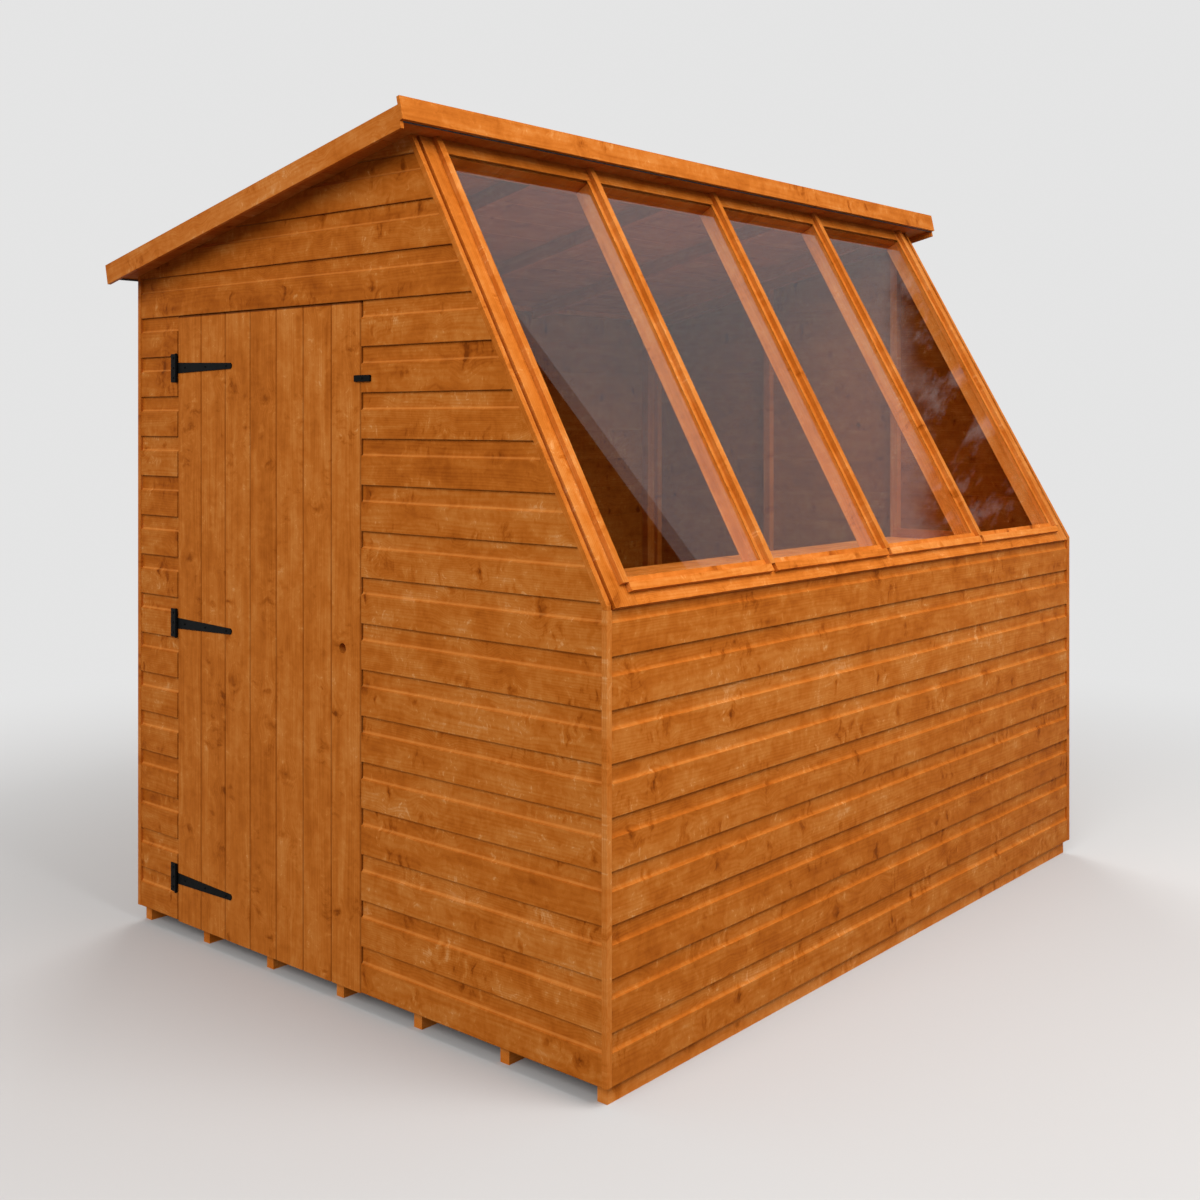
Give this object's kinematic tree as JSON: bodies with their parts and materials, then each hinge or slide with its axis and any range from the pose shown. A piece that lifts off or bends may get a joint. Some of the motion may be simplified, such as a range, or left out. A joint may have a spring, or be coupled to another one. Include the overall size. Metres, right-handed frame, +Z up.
{
  "type": "potting shed",
  "caption": "Free-standing timber potting shed with shiplap walls, a ledged and braced plank door on T hinges, and a sloping glazed front under a mono-pitch felted roof.",
  "frame": {"origin": "on the ground at the centre of the floor plan, under the middle bearer", "axes": "+X from the tall back wall towards the sloping glazed front, +Y from the door gable to the rear gable, +Z up"},
  "size_m": [1.8359, 2.58, 2.2091],
  "materials": {
    "cladding_timber": "dip-treated softwood",
    "trim_timber": "dip-treated softwood",
    "framing_timber": "dip-treated softwood",
    "black_ironmongery": "satin black",
    "glass": "clear",
    "roof_felt": "mineral felt"
  },
  "bodies": {
    "shed": {"back_corner_bead_door": "trim_timber", "back_corner_bead_rear": "trim_timber", "back_wall_cladding": "cladding_timber", "back_wall_frame": "framing_timber", "bargeboard_door": "trim_timber", "bargeboard_rear": "trim_timber", "bench_frame": "framing_timber", "bench_top": "framing_timber", "cover_strip_1": "trim_timber", "cover_strip_2": "trim_timber", "cover_strip_3": "trim_timber", "cover_strip_4": "trim_timber", "cover_strip_5": "trim_timber", "door_gable_cladding": "cladding_timber", "door_gable_frame": "framing_timber", "floor_bearers": "framing_timber", "floor_boards": "framing_timber", "front_corner_bead_door": "trim_timber", "front_corner_bead_rear": "trim_timber", "front_fascia": "trim_timber", "glass_pane_1": "glass", "glass_pane_2": "glass", "glass_pane_3": "glass", "glass_pane_4": "glass", "glazing_bar_1": "trim_timber", "glazing_bar_2": "trim_timber", "glazing_bar_3": "trim_timber", "glazing_bar_4": "trim_timber", "glazing_bar_5": "trim_timber", "glazing_header": "trim_timber", "glazing_header_board": "trim_timber", "glazing_sill": "trim_timber", "glazing_stile_door": "trim_timber", "glazing_stile_rear": "trim_timber", "hinge_pins": "black_ironmongery", "hinge_plate_bottom": "black_ironmongery", "hinge_plate_middle": "black_ironmongery", "hinge_plate_screws": "black_ironmongery", "hinge_plate_top": "black_ironmongery", "low_wall_cladding": "cladding_timber", "low_wall_frame": "framing_timber", "rear_gable_cladding": "cladding_timber", "rear_gable_frame": "framing_timber", "roof_boards": "framing_timber", "roof_felt": "roof_felt", "roof_rafters": "framing_timber", "sill_apron": "trim_timber", "sill_lips": "trim_timber", "slope_bead_door": "trim_timber", "slope_bead_rear": "trim_timber", "turn_button_screw": "black_ironmongery"},
    "door": {"door_boards": "cladding_timber", "door_ledges": "framing_timber", "door_braces": "framing_timber", "hinge_strap_bottom": "black_ironmongery", "hinge_strap_middle": "black_ironmongery", "hinge_strap_screws": "black_ironmongery", "hinge_strap_top": "black_ironmongery"},
    "turn_button": {"turn_button": "black_ironmongery"}
  },
  "joints": [
    {"name": "door_swing", "type": "hinge", "parent": "shed", "child": "door", "pos_m": [-0.6985, -1.2075, 0.8813], "axis": [0, 0, -1], "range_deg": [0, 170]},
    {"name": "turn_button_turn", "type": "hinge", "parent": "shed", "child": "turn_button", "pos_m": [0.11, -1.2056, 1.5593], "axis": [0, 1, 0], "range_deg": [0, 90]}
  ]
}
